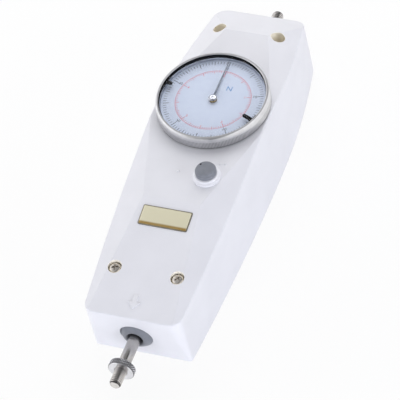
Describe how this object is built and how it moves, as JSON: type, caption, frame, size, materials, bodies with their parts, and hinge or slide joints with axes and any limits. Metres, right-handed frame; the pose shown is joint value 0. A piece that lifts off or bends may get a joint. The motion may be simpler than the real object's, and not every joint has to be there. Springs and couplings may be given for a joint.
{
  "type": "force gauge",
  "caption": "Mechanical push-pull force gauge: faceted case, round dial with a turning bezel, hold knob, and a sprung measuring rod with threaded ends.",
  "frame": {"origin": "on the flat back, midway between the tips of the measuring rod", "axes": "+Y along the measuring rod towards the pull end, +Z out of the dial, +X to the right when the dial is read with the pull end up"},
  "size_m": [0.06, 0.2408, 0.0509],
  "materials": {
    "case_paint": "satin off-white paint on die-cast alloy",
    "nickel_screw": "nickel-plated steel",
    "plate_gold": "gold-coloured plate",
    "grey_collar": "grey moulded plastic",
    "grey_knob": "grey moulded plastic",
    "bronze": "plain bearing bronze",
    "brass": "machined brass",
    "chassis_alloy": "machined aluminium",
    "rod_steel": "ground stainless steel",
    "spring_steel": "spring wire",
    "bright_chrome": "bright chrome",
    "bezel_chrome": "satin chrome with a bright lip",
    "spacer_alloy": "bright turned aluminium",
    "black_rubber": "black rubber",
    "dial_white": "pale printed dial",
    "pointer_black": "dark lacquer",
    "marker_black": "black lacquer",
    "clear_lens": "clear acrylic"
  },
  "bodies": {
    "case": {"front_housing": "case_paint", "back_cover": "case_paint", "housing_screws": "nickel_screw", "name_plate": "plate_gold", "push_collar": "grey_collar", "pull_collar": "grey_collar", "push_bush": "bronze", "pull_bush": "bronze", "chassis_plate": "chassis_alloy", "push_guide_block": "chassis_alloy", "pull_guide_block": "chassis_alloy", "block_screws": "nickel_screw", "chassis_screws": "nickel_screw", "pinion_cock": "brass", "bridge_plate": "brass", "bridge_pillars": "brass", "bridge_screws": "nickel_screw", "hairspring_stud": "brass", "hairspring": "spring_steel", "lever_stud": "rod_steel", "knob_bush": "bronze", "bezel_snap_ring": "spring_steel", "main_spring": "spring_steel", "spring_cup": "rod_steel", "stop_buffer": "black_rubber"},
    "rod": {"measuring_rod": "rod_steel", "rack_carrier": "brass", "rack": "rod_steel", "rack_screws": "nickel_screw", "guide_pin": "rod_steel", "spring_seat": "rod_steel", "rest_stop": "rod_steel"},
    "lock_nut": {"rod_lock_nut": "bright_chrome"},
    "drive_train": {"pinion_arbor": "rod_steel", "rack_pinion": "brass", "drive_gear": "brass", "brake_drum": "brass"},
    "pointer_train": {"centre_arbor": "rod_steel", "centre_pinion": "rod_steel", "hairspring_collet": "brass", "pointer": "pointer_black", "pointer_hub": "bright_chrome", "pointer_sleeve": "brass"},
    "dial": {"bezel_ring": "bezel_chrome", "dial_plate": "dial_white", "spacer_ring": "spacer_alloy", "lens_gasket": "black_rubber", "lens": "clear_lens"},
    "marker_low": {"limit_marker_low": "marker_black"},
    "marker_high": {"limit_marker_high": "marker_black"},
    "knob": {"hold_knob": "grey_knob", "knob_shaft": "rod_steel"},
    "lever": {"hold_lever": "chassis_alloy", "brake_pad": "black_rubber"}
  },
  "joints": [
    {"name": "rod_slide", "type": "slide", "parent": "case", "child": "rod", "axis": [0, 1, 0], "range_m": [0, 0.0102], "stiffness_N_per_m": 5000, "springref_m": -0.0002, "deforming": ["main_spring"]},
    {"name": "lock_nut_spin", "type": "hinge", "parent": "rod", "child": "lock_nut", "pos_m": [0, -0.11025, 0.0161], "axis": [0, 1, 0], "continuous": true},
    {"name": "drive_spin", "type": "hinge", "parent": "case", "child": "drive_train", "pos_m": [-0.0085, 0.02233, 0.031], "axis": [0, 0, 1], "range_deg": [-1, 147.15]},
    {"name": "pointer_spin", "type": "hinge", "parent": "case", "child": "pointer_train", "pos_m": [0, 0.03345, 0.031], "axis": [0, 0, 1], "range_deg": [-367.87, 2.5], "deforming": ["hairspring"]},
    {"name": "dial_turn", "type": "hinge", "parent": "case", "child": "dial", "pos_m": [0, 0.03345, 0.046], "axis": [0, 0, 1], "continuous": true},
    {"name": "marker_low_turn", "type": "hinge", "parent": "dial", "child": "marker_low", "pos_m": [0, 0.03345, 0.049], "axis": [0, 0, 1], "range_deg": [-60, 60]},
    {"name": "marker_high_turn", "type": "hinge", "parent": "dial", "child": "marker_high", "pos_m": [0, 0.03345, 0.049], "axis": [0, 0, 1], "range_deg": [-60, 60]},
    {"name": "hold_knob_turn", "type": "hinge", "parent": "case", "child": "knob", "pos_m": [0.0118, -0.01045, 0.046], "axis": [0, 0, 1], "range_deg": [-90, 0]},
    {"name": "hold_lever_swing", "type": "hinge", "parent": "case", "child": "lever", "pos_m": [0.00286, 0.004, 0.034], "axis": [0, 0, 1], "range_deg": [-0.2, 6.22]}
  ],
  "couplings": [
    {"joint": "drive_spin", "follows": "rod_slide", "rad_per_m": 250},
    {"joint": "pointer_spin", "follows": "rod_slide", "rad_per_m": -625},
    {"joint": "hold_lever_swing", "follows": "hold_knob_turn", "ratio": -0.066862}
  ]
}
